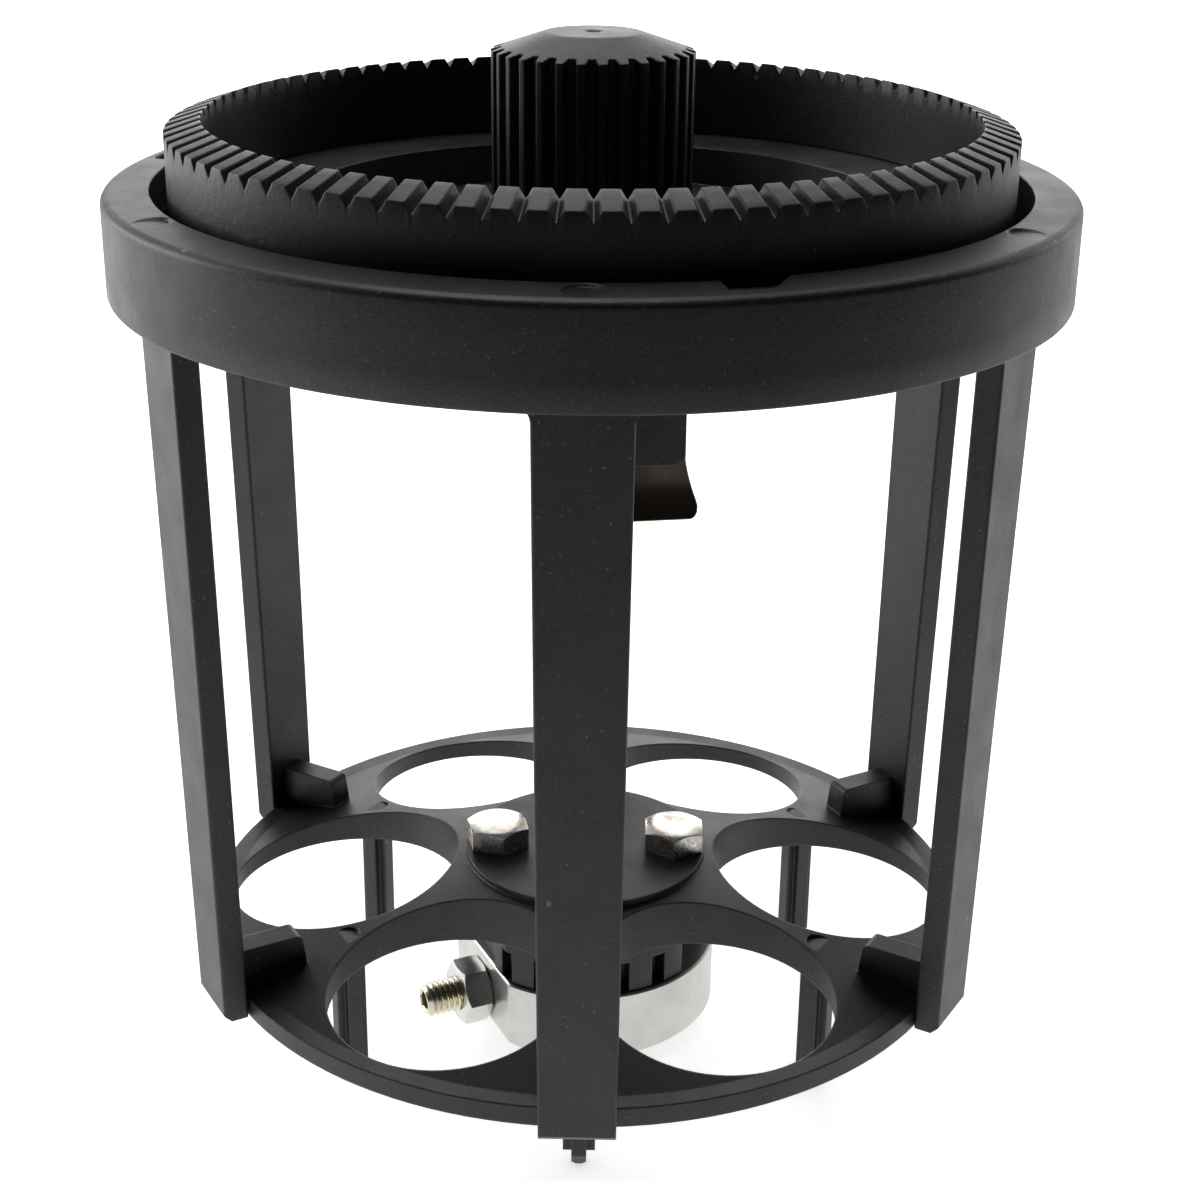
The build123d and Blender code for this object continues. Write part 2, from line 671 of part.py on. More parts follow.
def main():
    os.makedirs("parts", exist_ok=True)
    azimuths = [n * STATION_PITCH for n in range(STATIONS)]
    strut = make_strut()
    struts = [at_station(strut, azimuth) for azimuth in azimuths]
    plate = make_plate(struts)
    leg = make_leg(plate)

    write("collar", make_collar())
    for number, one in enumerate(struts, 1):
        write(f"strut_{number}", one)
    write("carrier_plate", plate)
    for number, azimuth in enumerate(azimuths, 1):
        write(f"leg_{number}", at_station(leg, azimuth))
    write("hub", make_hub())
    write("clamp_ring", make_clamp_ring())
    write("clamp_screw", make_clamp_screw())
    write("clamp_nut", make_clamp_nut())
    write("hub_screws", make_hub_screws())
    write("glide_ring", make_glide_ring())

    write("crown_gear", make_crown_gear())
    write("drive_disc", make_drive_disc())
    write("disc_snap_ring", make_snap_ring())
    write("spindle_bush", make_spindle_bush())

    write("sun_pinion", make_sun_pinion())
    write("spindle", make_spindle())
    bore = spindle_radius + fit_gap
    write("upper_thrust_washer", tube(washer_radius, bore, pinion_bottom - washer_height, pinion_bottom))
    write("lower_thrust_washer", tube(washer_radius, bore, arm_hub_top, arm_hub_top + washer_height))
    write("stirrer_arm", make_stirrer_arm())
    write("arm_pin", make_arm_pin())
    write("spindle_clip", make_clip())
    write("stirrer_blade", make_blade())
    write("blade_clamp", make_blade_clamp())
    write("blade_screws", make_blade_screws())


main()
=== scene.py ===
import math

import bpy
import numpy as np
from bpy.props import FloatProperty, FloatVectorProperty, IntProperty, PointerProperty
from mathutils import Matrix, Vector


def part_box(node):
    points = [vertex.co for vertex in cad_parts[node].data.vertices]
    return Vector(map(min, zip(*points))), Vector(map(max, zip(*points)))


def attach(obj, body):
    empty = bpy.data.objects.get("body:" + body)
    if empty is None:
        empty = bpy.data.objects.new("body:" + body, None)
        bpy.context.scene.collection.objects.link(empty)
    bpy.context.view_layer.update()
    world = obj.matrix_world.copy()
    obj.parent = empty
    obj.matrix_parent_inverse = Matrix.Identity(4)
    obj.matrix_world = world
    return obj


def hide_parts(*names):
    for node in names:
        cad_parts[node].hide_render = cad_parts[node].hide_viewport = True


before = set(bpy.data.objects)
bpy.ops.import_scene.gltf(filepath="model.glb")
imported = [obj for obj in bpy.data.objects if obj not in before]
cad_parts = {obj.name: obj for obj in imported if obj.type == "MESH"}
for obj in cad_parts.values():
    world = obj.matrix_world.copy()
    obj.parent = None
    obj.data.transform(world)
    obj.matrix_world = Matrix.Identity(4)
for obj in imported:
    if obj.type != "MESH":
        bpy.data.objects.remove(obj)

bl_info = {
    "name": "Film tube carrier",
    "version": (1, 0, 0),
    "blender": (4, 5, 0),
    "location": "3D View > Sidebar > Carrier",
    "description": "Looks of a rotary film tube carrier: nylon cage, drive ring, pinion, clamp and blade",
    "category": "Add Mesh",
}

MM = 0.001


def node_size(node):
    """Lowest and highest corner of a CAD node, as arrays in metres."""
    low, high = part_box(node)
    return np.array(low), np.array(high)


RING_LOW, RING_HIGH = node_size("crown_gear")
PINION_LOW, PINION_HIGH = node_size("sun_pinion")
CLAMP_LOW, CLAMP_HIGH = node_size("clamp_ring")
COLLAR_LOW, COLLAR_HIGH = node_size("collar")


# --- settings -------------------------------------------------------------------------------------
class CarrierSettings(bpy.types.PropertyGroup):
    nylon_colour: FloatVectorProperty(
        name="Nylon colour", description="Colour of the glass-filled black nylon",
        subtype="COLOR", size=3, min=0, max=1, default=(0.0085, 0.0085, 0.0090))
    # Also the colour of the painted highlight along the nylon's edges.
    fleck_and_edge_highlight: FloatVectorProperty(
        name="Fleck colour", description="Colour of the glass fibre ends and dust in the nylon's skin",
        subtype="COLOR", size=3, min=0, max=1, default=(0.060, 0.060, 0.062))
    nylon_roughness: FloatProperty(
        name="Nylon roughness", description="How matt the moulded skin is", min=0, max=1, default=0.46,
        subtype="FACTOR")
    edge_rounding: FloatProperty(
        name="Edge rounding", description="Radius at which moulded edges catch the light",
        unit="LENGTH", min=0, default=0.00045, precision=5)
    steel_colour: FloatVectorProperty(
        name="Steel colour", description="Colour of the turned stainless steel",
        subtype="COLOR", size=3, min=0, max=1, default=(0.78, 0.765, 0.74))
    bronze_colour: FloatVectorProperty(
        name="Bronze colour", description="Colour of the stirrer's sheet bronze",
        subtype="COLOR", size=3, min=0, max=1, default=(0.17, 0.135, 0.11))
    ring_teeth: IntProperty(
        name="Ring teeth", description="Number of teeth on the drive ring", min=12, default=86)
    tooth_depth_outer: FloatProperty(
        name="Tooth depth outside", description="Depth of the tooth gaps at the ring's outside",
        unit="LENGTH", min=0, default=0.0018, precision=5)
    tooth_depth_inner: FloatProperty(
        name="Tooth depth inside", description="Depth of the tooth gaps at the ring's bore",
        unit="LENGTH", min=0, default=0.0015, precision=5)
    tooth_half_angle: FloatProperty(
        name="Tooth flank", description="Half angle of the V between two teeth",
        subtype="ANGLE", unit="ROTATION", min=0.1, max=1.2, default=math.radians(31))
    pinion_flutes: IntProperty(
        name="Pinion flutes", description="Number of flutes round the pinion", min=8, default=30)
    flute_depth: FloatProperty(
        name="Flute depth", description="Depth of the pinion's flutes",
        unit="LENGTH", min=0, default=0.0016, precision=5)
    thread_pitch: FloatProperty(
        name="Thread pitch", description="Pitch of the clamp screw's thread",
        unit="LENGTH", min=0.0001, default=0.001, precision=5)
    lamp_power: FloatProperty(
        name="Lamp power", description="Power of the left soft lamp", unit="POWER", min=0, default=9.0)
    sky: FloatProperty(
        name="Sky", description="Strength of the even light all round", min=0, default=0.025)
    # Strength of the paper's emission, which is painted light.
    paper_glow: FloatProperty(
        name="Paper glow", description="How strongly the lit paper under and behind the carrier shines",
        min=0, default=0.90)


def settings():
    return bpy.context.scene.carrier


# --- meshes ---------------------------------------------------------------------------------------
def skin(name, grid, closed_profile, poles=(None, None)):
    """Mesh on a grid of points. Columns run round the piece and join up; rows run along its profile.

    Each face spans (row, column), (row, column + 1), (row + 1, column + 1), (row + 1, column), with the last
    column joined to the first. With a closed profile the last row joins the first too; otherwise each given
    pole closes its end with a fan."""
    rows, columns = grid.shape[:2]
    points = grid.reshape(-1, 3)
    index = np.arange(rows * columns).reshape(rows, columns)
    if closed_profile:
        index = np.vstack([index, index[:1]])
    after = np.roll(index, -1, axis=1)
    quads = quads_between(index, after)
    fans = []
    for pole, ring in ((poles[0], 0), (poles[1], -1)):
        if pole is None:
            continue
        tip = np.full(columns, len(points))
        points = np.vstack([points, np.asarray(pole, float)[None]])
        edge = (index[ring], after[ring]) if ring else (after[ring], index[ring])
        fans.append(np.stack([edge[0], edge[1], tip], -1))
    corners = np.concatenate([quads.ravel()] + [fan.ravel() for fan in fans])
    sizes = np.concatenate([np.full(len(quads), 4)] + [np.full(len(fan), 3) for fan in fans])
    return put(name, points, corners, sizes)


def quads_between(index, after):
    """Corners of the faces between each row of a grid of indices and the next, and between two columns."""
    return np.stack([index[:-1], after[:-1], after[1:], index[1:]], -1).reshape(-1, 4)


def put(name, points, corners, sizes):
    """Object from arrays of points, corner indices and face sizes."""
    mesh = bpy.data.meshes.new(name)
    mesh.vertices.add(len(points))
    mesh.vertices.foreach_set("co", np.ascontiguousarray(points, np.float32).ravel())
    mesh.loops.add(len(corners))
    mesh.loops.foreach_set("vertex_index", corners.astype(np.int32))
    mesh.polygons.add(len(sizes))
    mesh.polygons.foreach_set("loop_start", np.concatenate([[0], np.cumsum(sizes)[:-1]]).astype(np.int32))
    mesh.update(calc_edges=True)
    mesh.validate()
    mesh.shade_smooth()
    mesh.set_sharp_from_angle(angle=math.radians(32))
    piece = bpy.data.objects.new(name, mesh)
    bpy.context.scene.collection.objects.link(piece)
    return piece


def around(radius, azimuth, height):
    """Points at a distance from the Z axis, an azimuth counted from -Y towards +X, and a height."""
    return np.stack(np.broadcast_arrays(radius * np.sin(azimuth), -radius * np.cos(azimuth), height), -1)


def soft_floor(value, rounding):
    """The larger of the value and zero, with the corner rounded over the given length."""
    return 0.5 * (value + np.sqrt(value * value + rounding * rounding))


def finish_piece(piece, body, nodes, material):
    """Gives a piece its material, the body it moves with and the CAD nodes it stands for."""
    piece.data.materials.append(material)
    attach(piece, body)
    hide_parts(*nodes)
    return piece


# --- materials ------------------------------------------------------------------------------------
class Recipe:
    """A material whose nodes are added and joined by name of socket, or by number as in _0."""

    def __init__(self, name):
        self.material = bpy.data.materials.new(name)
        self.material.use_nodes = True
        self.tree = self.material.node_tree
        self.tree.nodes.clear()
        self.output = self.tree.nodes.new("ShaderNodeOutputMaterial")

    def add(self, kind, settings=None, **inputs):
        node = self.tree.nodes.new("ShaderNode" + kind)
        for key, value in (settings or {}).items():
            setattr(node, key, value)
        for key, value in inputs.items():
            self.join(value, node.inputs[self.socket(node, key)])
        return node

    def socket(self, node, key):
        names = {s.name.replace(" ", "_").lower(): i for i, s in reversed(list(enumerate(node.inputs)))
                 if s.enabled}
        return int(key[1:]) if key[0] == "_" and key[1:].isdigit() else names[key]

    def join(self, value, socket):
        if isinstance(value, bpy.types.NodeSocket):
            self.tree.links.new(value, socket)
        else:
            socket.default_value = value

    def place(self, scale=(1, 1, 1), shift=(0, 0, 0), turn=(0, 0, 0)):
        spot = self.add("TexCoord").outputs["Object"]
        return self.add("Mapping", vector=spot, location=shift, rotation=turn, scale=scale).outputs[0]

    def noise(self, where, scale, detail=2.0, roughness=0.5):
        return self.add("TexNoise", vector=where, scale=scale, detail=detail, roughness=roughness).outputs[0]

    def steps(self, factor, *stops):
        """Colour ramp through (position, grey) stops."""
        ramp = self.add("ValToRGB", fac=factor)
        ends = ramp.color_ramp.elements
        while len(ends) < len(stops):
            ends.new(0.5)
        for end, (position, grey) in zip(ends, stops):
            end.position = position
            end.color = (grey, grey, grey, 1)
        return ramp.outputs[0]

    def math(self, operation, first, second=0.0):
        return self.add("Math", {"operation": operation}, _0=first, _1=second).outputs[0]

    def blend(self, amount, first, second, kind="MIX"):
        mix = self.add("Mix", {"data_type": "RGBA", "blend_type": kind}, _0=amount, _6=first, _7=second)
        return mix.outputs[2]

    def edge_wear_and_highlight(self, radius):
        """(rounded normal, 0 to 1 along edges): how far the rounded normal leans from the face's own."""
        rounded = self.add("Bevel", {"samples": 6}, radius=radius).outputs[0]
        flat = self.add("NewGeometry").outputs["Normal"]
        lean = self.add("VectorMath", {"operation": "DOT_PRODUCT"}, _0=rounded, _1=flat).outputs["Value"]
        return rounded, self.steps(self.math("SUBTRACT", 1.0, lean), (0.02, 0.0), (0.18, 1.0))

    def surface(self, **inputs):
        shader = self.add("BsdfPrincipled", **inputs)
        self.tree.links.new(shader.outputs[0], self.output.inputs[0])
        return self.material


def colour(values, gain=1.0):
    return (*[min(1.0, c * gain) for c in values], 1.0)


def nylon(name, shift=0.0, gain=1.0, grain=0.35, edge_wear_and_highlight_gain=0.5):
    """Glass-filled nylon: a mottled dark skin with fibre flecks, dust, faint scuffs and lightened, smoother
    edges, the lightening partly wear and partly painted highlight.

    The shift moves the pattern, so that no two pieces share it. The gain scales the colour; a high gain, as
    on the drive disc, paints light into it. A high gain also means a smoother skin."""
    s = settings()
    r = Recipe(name)
    where = r.place(shift=(shift, shift * 0.7, -shift))
    cloud = r.steps(r.noise(where, 60, 4, 0.65), (0.32, 0.0), (0.70, 1.0))
    base = r.blend(cloud, colour(s.nylon_colour, 0.55 * gain), colour(s.nylon_colour, 1.5 * gain))
    fibre = r.steps(r.noise(where, 2100, 3, 0.75), (0.52, 0.0), (0.74, 1.0))
    base = r.blend(r.math("MULTIPLY", fibre, 0.60), base, colour(s.fleck_and_edge_highlight, 0.85))
    specks = r.steps(r.noise(where, 1500, 1, 0.4), (0.735, 0.0), (0.78, 1.0))
    base = r.blend(r.math("MULTIPLY", specks, 0.8), base, colour(s.fleck_and_edge_highlight, 1.7))
    dust = r.steps(r.noise(where, 430, 1, 0.4), (0.80, 0.0), (0.83, 1.0))
    base = r.blend(r.math("MULTIPLY", dust, 0.7), base, colour(s.fleck_and_edge_highlight, 2.6))
    normal, edge = r.edge_wear_and_highlight(s.edge_rounding)
    # Painted highlight mixed with wear: the edge mask lightens the colour along every edge.
    base = r.blend(r.math("MULTIPLY", edge, edge_wear_and_highlight_gain), base, colour(s.fleck_and_edge_highlight, 1.5))
    scuff_place = r.place(scale=(1, 1, 0.12), shift=(0.3 - shift, 0.1, 0.2), turn=(0.3, 0.2, 0.5))
    scuff = r.steps(r.noise(scuff_place, 900, 3, 0.7), (0.62, 0.0), (0.70, 1.0))
    patches = r.steps(r.noise(where, 32, 3, 0.6), (0.45, 0.0), (0.75, 1.0))
    worn = r.math("MULTIPLY", scuff, patches)
    base = r.blend(r.math("MULTIPLY", worn, 0.5), base, colour(s.fleck_and_edge_highlight, 0.9))
    smoother = 0.09 + 0.035 * max(0.0, gain - 1.2)
    rough = r.math("ADD", s.nylon_roughness - smoother, r.math("MULTIPLY", r.noise(where, 140, 3), 0.20))
    rough = r.math("SUBTRACT", rough, r.math("MULTIPLY", edge, 0.14))
    skin_grain = r.math("ADD", r.noise(where, 2600, 3, 0.7), r.math("MULTIPLY", r.noise(where, 800, 2), 0.9))
    bump = r.add("Bump", strength=grain, distance=0.00009, height=skin_grain, normal=normal).outputs[0]
    return r.surface(base_color=base, roughness=rough, normal=bump, ior=1.50)


def turned_steel(name, turn=(0, 0, 0), lines=1.0, gain=1.0, roughness=0.30):
    """Stainless steel with fine turning lines square to its axis."""
    s = settings()
    r = Recipe(name)
    stretch = r.place(scale=(0.02, 0.02, 1), turn=turn)
    line = r.noise(stretch, 5200, 3, 0.7)
    where = r.place()
    stain = r.steps(r.noise(where, 180, 4, 0.6), (0.35, 0.0), (0.75, 1.0))
    base = r.blend(stain, colour(s.steel_colour, gain), colour(s.steel_colour, 0.86 * gain))
    base = r.blend(r.math("MULTIPLY", line, 0.22 * lines), base, colour(s.steel_colour, 0.62 * gain))
    rough = r.math("ADD", roughness - 0.05, r.math("MULTIPLY", r.noise(stretch, 2600, 2), 0.16))
    normal, _ = r.edge_wear_and_highlight(0.0002)
    bump = r.add("Bump", strength=0.25 * lines, distance=0.00003, height=line, normal=normal).outputs[0]
    return r.surface(base_color=base, metallic=1.0, roughness=rough, normal=bump)


def pressed_steel(name):
    """Screw heads: pale stainless steel with fine pitting and light brown stains on the faces."""
    s = settings()
    r = Recipe(name)
    where = r.place()
    stain = r.steps(r.noise(where, 260, 5, 0.65), (0.46, 0.0), (0.66, 1.0))
    base = r.blend(stain, colour(s.steel_colour, 0.95), (0.56, 0.47, 0.38, 1))
    pits = r.steps(r.noise(where, 1900, 3, 0.6), (0.30, 1.0), (0.42, 0.0))
    base = r.blend(r.math("MULTIPLY", pits, 0.5), base, (0.20, 0.18, 0.16, 1))
    rough = r.math("ADD", 0.24, r.math("MULTIPLY", stain, 0.22))
    normal, _ = r.edge_wear_and_highlight(0.00018)
    height = r.math("SUBTRACT", r.noise(where, 1100, 3), r.math("MULTIPLY", pits, 0.6))
    bump = r.add("Bump", strength=0.3, distance=0.00004, height=height, normal=normal).outputs[0]
    return r.surface(base_color=base, metallic=0.95, roughness=rough, normal=bump)


def sheet_bronze(name):
    """Rolled bronze sheet, darkened, with a bright rim, partly wear and partly painted highlight, and rolling
    marks along its width.
    """
    s = settings()
    r = Recipe(name)
    where = r.place()
    rolled = r.noise(r.place(scale=(0.03, 0.03, 1)), 3600, 3, 0.6)
    tarnish = r.steps(r.noise(where, 170, 4, 0.6), (0.35, 0.0), (0.72, 1.0))
    base = r.blend(tarnish, colour(s.bronze_colour), colour(s.bronze_colour, 0.45))
    normal, edge = r.edge_wear_and_highlight(0.00025)
    # Painted highlight mixed with wear: the edge mask turns the rim pale.
    base = r.blend(r.math("MULTIPLY", edge, 0.8), base, (0.72, 0.60, 0.50, 1))
    rough = r.math("ADD", 0.26, r.math("MULTIPLY", tarnish, 0.18))
    bump = r.add("Bump", strength=0.3, distance=0.00003, height=rolled, normal=normal).outputs[0]
    return r.surface(base_color=base, metallic=1.0, roughness=rough, normal=bump)


def slippery_plastic(name):
    """White low-friction plastic with a faint machined grain."""
    r = Recipe(name)
    where = r.place()
    cloud = r.steps(r.noise(where, 90, 3), (0.3, 0.0), (0.8, 1.0))
    base = r.blend(cloud, (0.80, 0.80, 0.77, 1), (0.68, 0.68, 0.64, 1))
    ring = r.noise(r.place(scale=(0.05, 0.05, 1)), 3000, 2)
    rough = r.math("ADD", 0.36, r.math("MULTIPLY", cloud, 0.12))
    bump = r.add("Bump", strength=0.2, distance=0.00003, height=ring).outputs[0]
    return r.surface(base_color=base, roughness=rough, normal=bump)


def spring_steel(name):
    """Dark oiled spring steel with a blued bloom."""
    r = Recipe(name)
    where = r.place()
    bloom = r.steps(r.noise(where, 150, 3), (0.3, 0.0), (0.8, 1.0))
    base = r.blend(bloom, (0.16, 0.16, 0.17, 1), (0.08, 0.09, 0.12, 1))
    rough = r.math("ADD", 0.3, r.math("MULTIPLY", bloom, 0.2))
    bump = r.add("Bump", strength=0.2, distance=0.00003, height=r.noise(where, 2000, 2)).outputs[0]
    return r.surface(base_color=base, metallic=1.0, roughness=rough, normal=bump)


def paper_floor(name):
    """Seamless pale studio paper whose glow is painted light, as if lit through from behind; the glow fades
    out in front, more so on the right, and to both sides, and a painted shadow dims it close to whatever
    stands on it."""
    soft = {"interpolation_type": "SMOOTHSTEP"}
    r = Recipe(name)
    where = r.place()
    base = r.blend(r.noise(where, 6, 2), (0.80, 0.80, 0.80, 1), (0.82, 0.82, 0.82, 1))
    sideways, ahead, _ = r.add("SeparateXYZ", vector=where).outputs
    slanted = r.math("SUBTRACT", ahead, r.math("MULTIPLY", sideways, 0.35))
    # Painted pool of light: the glow falls off in front, on the right and to both sides.
    near = r.add("MapRange", soft, _0=slanted, _1=-0.32, _2=-0.08, _3=0.03, _4=1.0).outputs[0]
    far = r.add("MapRange", soft, _0=ahead, _1=0.0, _2=0.5, _3=1.0, _4=1.4).outputs[0]
    right = r.add("MapRange", soft, _0=sideways, _1=0.24, _2=0.75, _3=1.0, _4=0.45).outputs[0]
    left = r.add("MapRange", soft, _0=sideways, _1=-0.90, _2=-0.35, _3=0.35, _4=1.0).outputs[0]
    # Painted shadow: ambient occlusion dims the paper's glow near the carrier, where its shadow falls.
    close = r.add("AmbientOcclusion", {"samples": 8}, _1=0.028).outputs[1]
    shade = r.add("MapRange", _0=close, _1=0.20, _2=0.70, _3=0.66, _4=1.0).outputs[0]
    glow = settings().paper_glow
    for share in (near, far, right, left, shade):
        glow = r.math("MULTIPLY", share, glow)
    return r.surface(base_color=base, roughness=0.9, emission_color=(1, 1, 1, 1), emission_strength=glow)


def dress(nodes, material):
    """Gives CAD nodes their material."""
    for name in nodes:
        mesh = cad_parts[name].data
        mesh.materials.clear()
        mesh.materials.append(material)


# --- operators ------------------------------------------------------------------------------------
class CARRIER_OT_stage(bpy.types.Operator):
    """Studio: pale floor that curves up behind, soft lamps and the camera"""
    bl_idname = "carrier.stage"
    bl_label = "Stage"

    def execute(self, context):
        scene = context.scene
        self.backdrop()
        self.camera(scene)
        power = settings().lamp_power
        self.lamp("left_box", (-0.86, 0.36, 0.34), (0, 0, 0.09), 0.6, 0.5, power * 0.50)
        self.lamp("right_box", (0.78, 0.70, 0.30), (0, 0, 0.09), 0.3, 0.4, power * 0.10)
        self.lamp("back_box", (0.0, 1.3, 0.44), (0, 0, 0.12), 1.5, 0.42, power * 0.36)
        self.lamp("overhead", (-0.12, 0.16, 0.95), (0, 0.02, 0.1), 0.35, 0.35, power * 0.24)
        world = bpy.data.worlds.new("studio")
        world.use_nodes = True
        world.node_tree.nodes["Background"].inputs[0].default_value = (1, 1, 1, 1)
        world.node_tree.nodes["Background"].inputs[1].default_value = settings().sky
        scene.world = world
        scene.view_settings.view_transform = "Standard"
        return {"FINISHED"}

    def backdrop(self):
        """Floor strip: flat to the front, then a quarter circle and a wall behind, as one swept profile."""
        bend = np.linspace(0, math.pi / 2, 24)
        run = np.concatenate([[-3.0, 0.9], 0.9 + 1.0 * np.sin(bend[1:]), [1.9]])
        rise = np.concatenate([[0.0, 0.0], 1.0 - 1.0 * np.cos(bend[1:]), [4.0]])
        across = np.linspace(-3.5, 3.5, 15)
        grid = np.stack(np.broadcast_arrays(across[None], run[:, None], rise[:, None]), -1)
        rows, columns = grid.shape[:2]
        index = np.arange(rows * columns).reshape(rows, columns)
        quads = quads_between(index[:, :-1], index[:, 1:])
        floor = put("paper_floor", grid.reshape(-1, 3), quads.ravel(), np.full(len(quads), 4))
        floor.data.materials.append(paper_floor("studio_paper"))

    def camera(self, scene):
        """Camera above and in front, looking down 22 degrees, turned a little about the carrier's axis."""
        turn, pitch, yaw, roll = 0.012, 0.3878, 0.0013, 0.0106
        distance, height = 0.32763, 0.21538
        ahead = Vector((math.sin(yaw) * math.cos(pitch), math.cos(yaw) * math.cos(pitch), -math.sin(pitch)))
        right = Vector((math.cos(yaw), -math.sin(yaw), 0))
        above = right.cross(ahead)
        tilted_right = right * math.cos(roll) + above * math.sin(roll)
        tilted_up = above * math.cos(roll) - right * math.sin(roll)
        turned = Matrix((tilted_right, tilted_up, -ahead)).transposed().to_4x4()
        lens = bpy.data.cameras.new("camera")
        lens.lens = 64.19
        lens.sensor_width = 36.0
        lens.clip_start = 0.01
        lens.clip_end = 20
        camera = bpy.data.objects.new("camera", lens)
        scene.collection.objects.link(camera)
        spin = Matrix.Rotation(turn, 4, "Z")
        camera.matrix_world = spin @ Matrix.Translation((0, -distance, height)) @ turned
        scene.camera = camera

    def lamp(self, name, place, target, width, depth, power):
        light = bpy.data.lights.new(name, "AREA")
        light.shape = "RECTANGLE"
        light.size = width
        light.size_y = depth
        light.energy = power
        lamp = bpy.data.objects.new(name, light)
        bpy.context.scene.collection.objects.link(lamp)
        aim = Vector(target) - Vector(place)
        lamp.matrix_world = Matrix.Translation(place) @ aim.to_track_quat("-Z", "Y").to_matrix().to_4x4()


class CARRIER_OT_collar(bpy.types.Operator):
    """Collar with its coned top, three bayonet notches and six shallow ejector marks"""
    bl_idname = "carrier.collar"
    bl_label = "Collar"

    crown = 0.6 * MM
    notch = (14.57, 14.63, 19.68, 19.74, 22.2, 22.7)  # azimuths of one notch's corners, in degrees
    notch_flare = 19.7
    mark_centre, mark_radius, mark_edge, mark_depth = 70.85 * MM, 2.72 * MM, 0.16 * MM, 0.25 * MM
    land = 7.3 * MM

    def execute(self, context):
        outer, bore, groove, ledge = COLLAR_HIGH[0], 67.7 * MM, 72.0 * MM, 63.0 * MM
        low, high = COLLAR_LOW[2], COLLAR_HIGH[2]
        crown, rounding, foot, fit = self.crown, 1.2 * MM, 0.4 * MM, 0.05 * MM
        top = high - crown
        shelf, lip = low + 3.8 * MM, low + 8.8 * MM
        bend = np.linspace(0, math.pi / 2, 9)[1:-1]
        edge = np.stack([outer - rounding + rounding * np.cos(bend),
                         top - rounding + rounding * np.sin(bend)], -1)
        across = np.linspace(outer - rounding, bore + 0.2 * MM, 28)
        cone = top + crown * (outer - across) / (outer - bore)
        # Rows are (radius, height, kind): 1 top face, 2 the lip's bore, 3 under the lip, 0 elsewhere.
        rows = np.vstack([
            [(ledge, low, 0), (outer - foot, low, 0)],
            [(outer - 0.3 * foot, low + 0.3 * foot, 0), (outer, low + foot, 0)],
            [(outer, low + (top - low) * share, 0) for share in (0.3, 0.6)],
            [(outer, top - rounding, 0)],
            np.column_stack([edge, np.zeros(len(edge))]),
            np.column_stack([across, cone, np.ones(len(across))]),
            [(bore, high - 0.15 * MM, 2), (bore, (lip + high) / 2, 2), (bore, lip, 2)],
            [((bore + groove) / 2, lip, 3), (groove, lip, 0), (groove, shelf, 0)],
            [((groove + ledge) / 2, shelf, 0), (ledge + 0.3 * MM, shelf, 0), (ledge, shelf - 0.3 * MM, 0)],
        ])
        radius, height, kind = (rows[:, [i]] for i in range(3))
        azimuth = np.radians(self.columns())[None]
        wall = self.wall(azimuth, bore, groove - fit)
        end = np.where(kind == 1, outer - rounding, groove)
        moved = wall + (radius - bore) * (end - wall) / (end - bore)
        reach = np.where(kind > 0, moved, radius + 0 * azimuth)
        level = height + np.where(kind == 1, crown * (radius - reach) / (outer - bore), 0)
        piece = skin("moulded_collar", around(reach, azimuth, level - self.marks(reach, azimuth, kind)), True)
        finish_piece(piece, "cage", ["collar"], nylon("collar_nylon", 0.37, grain=0.5))
        return {"FINISHED"}

    def columns(self):
        """Azimuths in degrees: even steps, closer ones over the marks, and the corners of each notch."""
        even = np.arange(0, 360, 0.9)
        marks = (np.arange(6)[:, None] * 60 + np.arange(-2.8, 2.81, 0.16)[None]).ravel() % 360
        notches = (np.arange(3)[:, None] * 120 + np.array(self.notch)[None]).ravel()
        even = even[np.min(np.abs(even[:, None] - notches[None]), 1) > 0.2]
        even = even[np.min(np.abs((even[:, None] - np.arange(6)[None] * 60 + 180) % 360 - 180), 1) > 2.85]
        return np.unique(np.round(np.concatenate([even, marks, notches]), 4))

    def wall(self, azimuth, bore, back):
        """Radius of the lip's inner wall: the bore, or the notch's back, whose far side leans inwards."""
        degrees = np.degrees(azimuth) % 120
        start, end = self.notch[0], self.notch[-1]
        near = np.clip((degrees - start) / 0.06, 0, 1)
        far = np.clip((end - degrees) / (end - self.notch_flare), 0, 1)
        return bore + (back - bore) * np.minimum(near, far)

    def marks(self, radius, azimuth, kind):
        """Depth of the ejector marks: the cone's height over a level floor, in circles on the top face."""
        away = (azimuth + math.pi / 6) % (math.pi / 3) - math.pi / 6
        distance = np.hypot(radius * np.cos(away) - self.mark_centre, radius * np.sin(away))
        inside = np.clip((self.mark_radius - distance) / self.mark_edge, 0, 1)
        floor = np.maximum(self.mark_depth + self.crown / self.land * (self.mark_centre - radius), 0)
        return np.where(kind == 1, inside * floor, 0)


